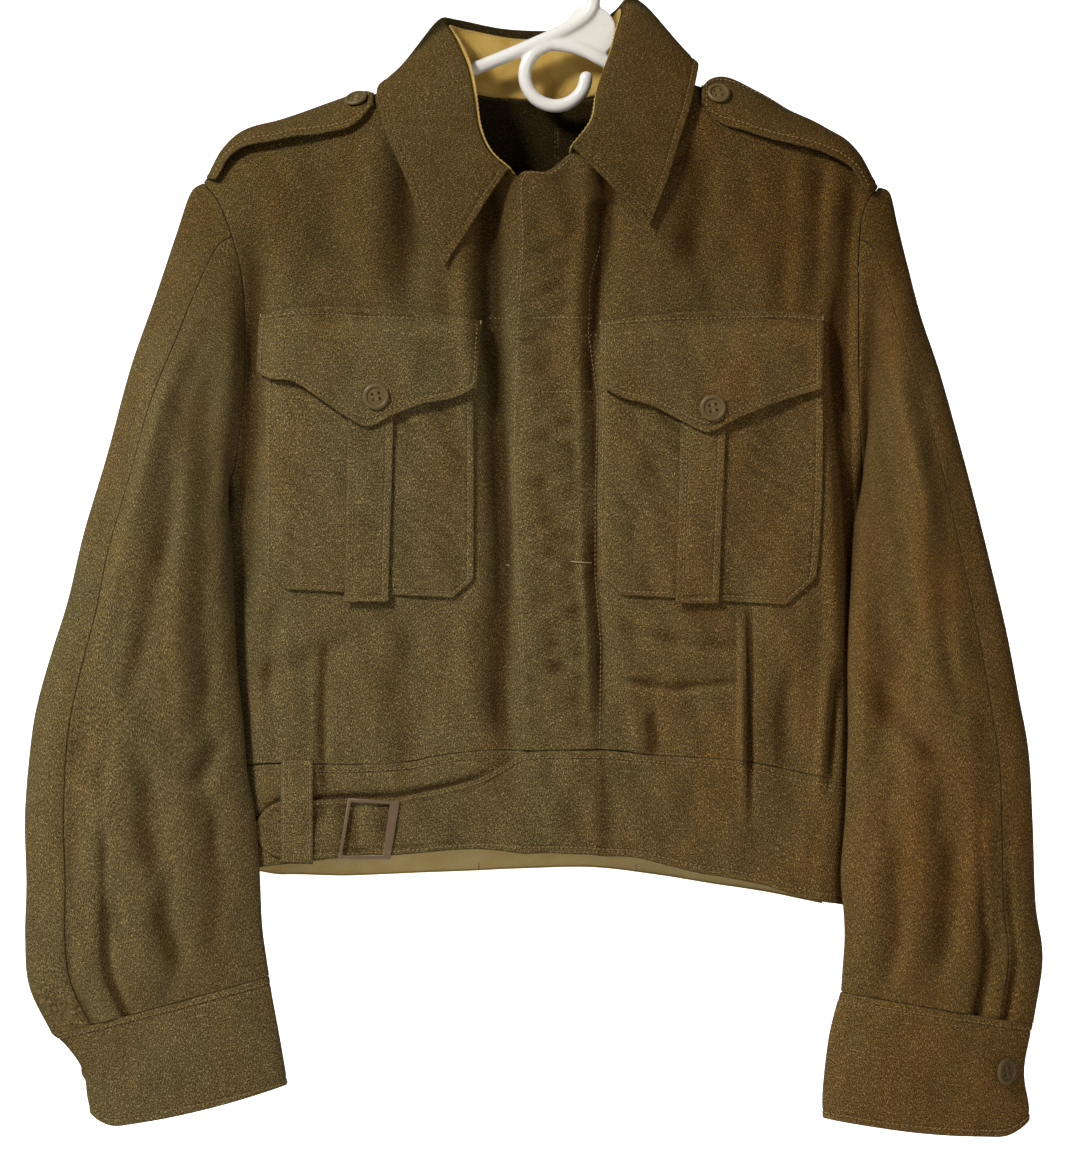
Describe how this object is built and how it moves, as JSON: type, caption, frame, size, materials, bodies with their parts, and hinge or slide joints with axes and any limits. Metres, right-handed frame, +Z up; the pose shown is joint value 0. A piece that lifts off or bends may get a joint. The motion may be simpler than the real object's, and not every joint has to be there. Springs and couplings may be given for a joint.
{
  "type": "battledress jacket on hanger",
  "caption": "Short wool field jacket with a hidden-button front, flapped chest pockets, shoulder straps and a buckled waistband, hung on a tubular hanger.",
  "frame": {"origin": "the inner top of the hanger's hook, where a rail carries it", "axes": "+Z up along the jacket, -Y out of its front, +X to the right as seen from the front, which is the wearer's left"},
  "size_m": [0.721, 0.1119, 0.8778],
  "materials": {
    "serge": "khaki-brown heathered wool serge, brushed and matte",
    "drill": "yellow-khaki cotton drill, fine twill, matte",
    "button_brown": "brown pressed button with a soft shine",
    "buckle_brown": "brown painted steel, worn at its edges",
    "white_plastic": "glossy white moulded plastic"
  },
  "bodies": {
    "root": {"hanger": "white_plastic", "front_left": "serge", "front_right": "serge", "back_left": "serge", "back_right": "serge", "collar": "serge", "collar_lining": "drill", "sleeve_left_top": "serge", "sleeve_left_under": "serge", "sleeve_right_top": "serge", "sleeve_right_under": "serge", "cuff_left": "serge", "cuff_right": "serge", "shoulder_strap_left": "serge", "shoulder_strap_right": "serge", "pocket_left": "serge", "pocket_right": "serge", "pocket_pleat_left": "serge", "pocket_pleat_right": "serge", "pocket_flap_left": "serge", "pocket_flap_right": "serge", "waistband_left": "serge", "waistband_right": "serge", "waistband_back": "serge", "waistband_lining": "drill", "belt_loop": "serge", "buckle": "buckle_brown", "pocket_button_left": "button_brown", "pocket_button_right": "button_brown", "strap_button_left": "button_brown", "strap_button_right": "button_brown", "cuff_button_left": "button_brown", "cuff_button_right": "button_brown"}
  },
  "joints": []
}
